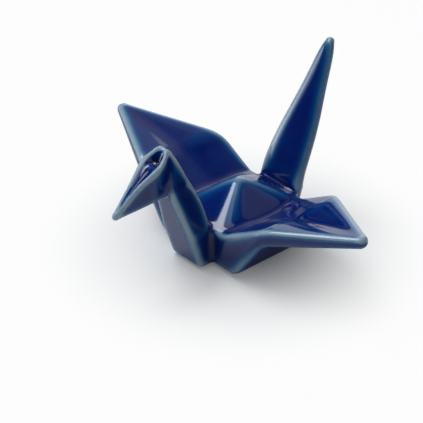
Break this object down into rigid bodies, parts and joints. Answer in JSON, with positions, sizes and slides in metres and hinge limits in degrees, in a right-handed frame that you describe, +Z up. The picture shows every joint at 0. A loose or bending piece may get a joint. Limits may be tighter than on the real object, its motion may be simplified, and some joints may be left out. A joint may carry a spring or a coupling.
{
  "type": "chopstick rest",
  "caption": "Glazed porcelain chopstick rest shaped like a folded paper crane, with a low back that holds sticks between neck and tail.",
  "frame": {"origin": "middle of the standing face, under the middle of the body", "axes": "+X forward to the beak, +Y to the crane's left wing, +Z up"},
  "size_m": [0.053, 0.0674, 0.035],
  "materials": {
    "cobalt_glaze": "glossy cobalt glaze, paler where it thins over the edges",
    "bare_clay": "unglazed, fine and matt"
  },
  "bodies": {
    "root": {"body": "cobalt_glaze", "left_wing": "cobalt_glaze", "right_wing": "cobalt_glaze", "neck": "cobalt_glaze", "head": "cobalt_glaze", "tail": "cobalt_glaze", "foot": "bare_clay"}
  },
  "joints": []
}
